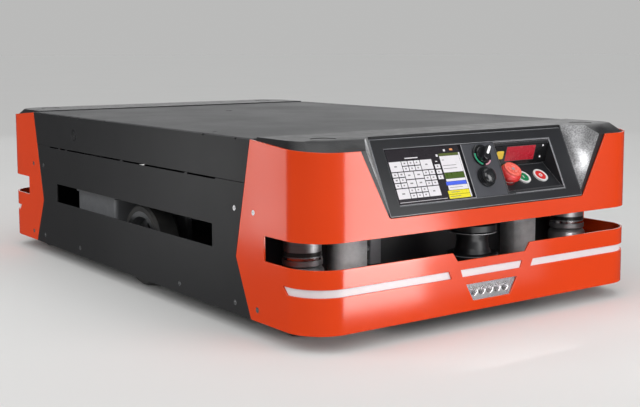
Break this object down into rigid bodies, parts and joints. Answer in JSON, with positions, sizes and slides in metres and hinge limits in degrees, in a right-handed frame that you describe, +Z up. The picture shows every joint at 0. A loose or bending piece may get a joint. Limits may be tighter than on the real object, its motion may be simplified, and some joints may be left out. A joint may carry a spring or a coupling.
{
  "type": "autonomous mobile robot",
  "caption": "Low under-ride transport robot with lifting load deck, driven and castor wheels, laser scanners, light bars and a front control console.",
  "frame": {"origin": "on the floor, below the middle of the body", "axes": "+Z up, the front with the control console faces -Y, +X to the robot's left when it looks along -Y"},
  "size_m": [0.752, 1.256, 0.324],
  "materials": {
    "orange_coat": "satin powder coat, fine orange peel",
    "anthracite_coat": "matt anthracite powder coat, fine texture",
    "deck_coat": "matt fine-texture coat on the load deck",
    "cover_plastic": "grained black moulding",
    "bezel_plastic": "fine grained dark grey moulding",
    "display_glass": "glossy touch screen front",
    "plate_grey": "satin grey control plate",
    "black_gloss": "smooth black",
    "red_button": "glossy red",
    "green_button": "glossy green",
    "white_ring": "white button ring",
    "light_diffuser": "milky light bar diffuser",
    "lamp_metal": "bright reflector",
    "lamp_clear": "clear lamp lens",
    "scanner_black": "black scanner housing with dark window",
    "frame_steel": "light grey painted frame steel",
    "turned_steel": "turned zinc plated steel",
    "motor_aluminium": "cast and turned aluminium",
    "wheel_tyre": "dark polyurethane tread",
    "battery_grey": "grey battery case",
    "screw_steel": "plated countersunk screws"
  },
  "bodies": {
    "chassis": {"front_skirt": "orange_coat", "rear_skirt": "orange_coat", "side_panel_left": "anthracite_coat", "side_panel_right": "anthracite_coat", "front_cover": "cover_plastic", "rear_cover": "cover_plastic", "light_bars_front": "light_diffuser", "light_bars_rear": "light_diffuser", "lamp_front": "lamp_metal", "lamp_rear": "lamp_metal", "lamp_lens_front": "lamp_clear", "lamp_lens_rear": "lamp_clear", "scanner_front": "scanner_black", "scanner_rear": "scanner_black", "end_member_front": "frame_steel", "end_member_rear": "frame_steel", "floor_plate": "frame_steel", "floor_rail_left": "frame_steel", "floor_rail_right": "frame_steel", "castor_column_front_left": "turned_steel", "castor_column_front_right": "turned_steel", "castor_column_rear_left": "turned_steel", "castor_column_rear_right": "turned_steel", "drive_unit_left": "motor_aluminium", "drive_unit_right": "motor_aluminium", "battery_left": "battery_grey", "battery_right": "battery_grey", "lift_tubes": "turned_steel", "console_bezel": "bezel_plastic", "display_module": "display_glass", "control_plate": "plate_grey", "button_recess": "bezel_plastic", "battery_gauge": "black_gloss", "button_collars": "white_ring", "selector_ring": "black_gloss", "cover_screws": "screw_steel", "cover_plugs": "cover_plastic"},
    "lift_deck": {"deck_plate": "deck_coat", "deck_strip_left": "anthracite_coat", "deck_strip_right": "anthracite_coat", "strip_plug_left": "anthracite_coat", "strip_plug_right": "anthracite_coat", "lift_rods": "turned_steel"},
    "drive_wheel_left": {"drive_hub_left": "motor_aluminium", "drive_tyre_left": "wheel_tyre"},
    "drive_wheel_right": {"drive_hub_right": "motor_aluminium", "drive_tyre_right": "wheel_tyre"},
    "emergency_stop": {"emergency_stop": "red_button"},
    "start_button": {"start_button": "green_button"},
    "stop_button": {"stop_button": "red_button"},
    "selector_knob": {"selector_knob": "black_gloss"},
    "dome_button": {"dome_button": "black_gloss"},
    "castor_fork_front_left": {"castor_fork_front_left": "turned_steel"},
    "castor_wheel_front_left": {"castor_wheel_front_left": "wheel_tyre"},
    "castor_fork_front_right": {"castor_fork_front_right": "turned_steel"},
    "castor_wheel_front_right": {"castor_wheel_front_right": "wheel_tyre"},
    "castor_fork_rear_left": {"castor_fork_rear_left": "turned_steel"},
    "castor_wheel_rear_left": {"castor_wheel_rear_left": "wheel_tyre"},
    "castor_fork_rear_right": {"castor_fork_rear_right": "turned_steel"},
    "castor_wheel_rear_right": {"castor_wheel_rear_right": "wheel_tyre"}
  },
  "joints": [
    {"name": "deck_lift", "type": "slide", "parent": "chassis", "child": "lift_deck", "axis": [0, 0, 1], "range_m": [0, 0.06]},
    {"name": "drive_left_spin", "type": "hinge", "parent": "chassis", "child": "drive_wheel_left", "pos_m": [-0.318, 0, 0.08], "axis": [1, 0, 0], "continuous": true},
    {"name": "drive_right_spin", "type": "hinge", "parent": "chassis", "child": "drive_wheel_right", "pos_m": [0.318, 0, 0.08], "axis": [1, 0, 0], "continuous": true},
    {"name": "castor_front_left_swivel", "type": "hinge", "parent": "chassis", "child": "castor_fork_front_left", "pos_m": [-0.311, -0.513, 0.11], "axis": [0, 0, 1], "continuous": true},
    {"name": "castor_front_left_roll", "type": "hinge", "parent": "castor_fork_front_left", "child": "castor_wheel_front_left", "pos_m": [-0.311, -0.493, 0.0375], "axis": [1, 0, 0], "continuous": true},
    {"name": "castor_front_right_swivel", "type": "hinge", "parent": "chassis", "child": "castor_fork_front_right", "pos_m": [0.311, -0.513, 0.11], "axis": [0, 0, 1], "continuous": true},
    {"name": "castor_front_right_roll", "type": "hinge", "parent": "castor_fork_front_right", "child": "castor_wheel_front_right", "pos_m": [0.311, -0.493, 0.0375], "axis": [1, 0, 0], "continuous": true},
    {"name": "castor_rear_left_swivel", "type": "hinge", "parent": "chassis", "child": "castor_fork_rear_left", "pos_m": [-0.311, 0.513, 0.11], "axis": [0, 0, 1], "continuous": true},
    {"name": "castor_rear_left_roll", "type": "hinge", "parent": "castor_fork_rear_left", "child": "castor_wheel_rear_left", "pos_m": [-0.311, 0.533, 0.0375], "axis": [1, 0, 0], "continuous": true},
    {"name": "castor_rear_right_swivel", "type": "hinge", "parent": "chassis", "child": "castor_fork_rear_right", "pos_m": [0.311, 0.513, 0.11], "axis": [0, 0, 1], "continuous": true},
    {"name": "castor_rear_right_roll", "type": "hinge", "parent": "castor_fork_rear_right", "child": "castor_wheel_rear_right", "pos_m": [0.311, 0.533, 0.0375], "axis": [1, 0, 0], "continuous": true},
    {"name": "emergency_stop_push", "type": "slide", "parent": "chassis", "child": "emergency_stop", "axis": [0, 0.6242, -0.7813], "range_m": [0, 0.0035]},
    {"name": "start_button_push", "type": "slide", "parent": "chassis", "child": "start_button", "axis": [0, 0.6242, -0.7813], "range_m": [0, 0.003], "stiffness_N_per_m": 600, "springref_m": -0.002},
    {"name": "stop_button_push", "type": "slide", "parent": "chassis", "child": "stop_button", "axis": [0, 0.6242, -0.7813], "range_m": [0, 0.003], "stiffness_N_per_m": 600, "springref_m": -0.002},
    {"name": "selector_turn", "type": "hinge", "parent": "chassis", "child": "selector_knob", "pos_m": [0.009, -0.58897, 0.2825], "axis": [0, -0.9011, 0.4337], "range_deg": [0, 80]},
    {"name": "dome_push", "type": "slide", "parent": "chassis", "child": "dome_button", "axis": [0, 0.9011, -0.4337], "range_m": [0, 0.003], "stiffness_N_per_m": 600, "springref_m": -0.002}
  ]
}
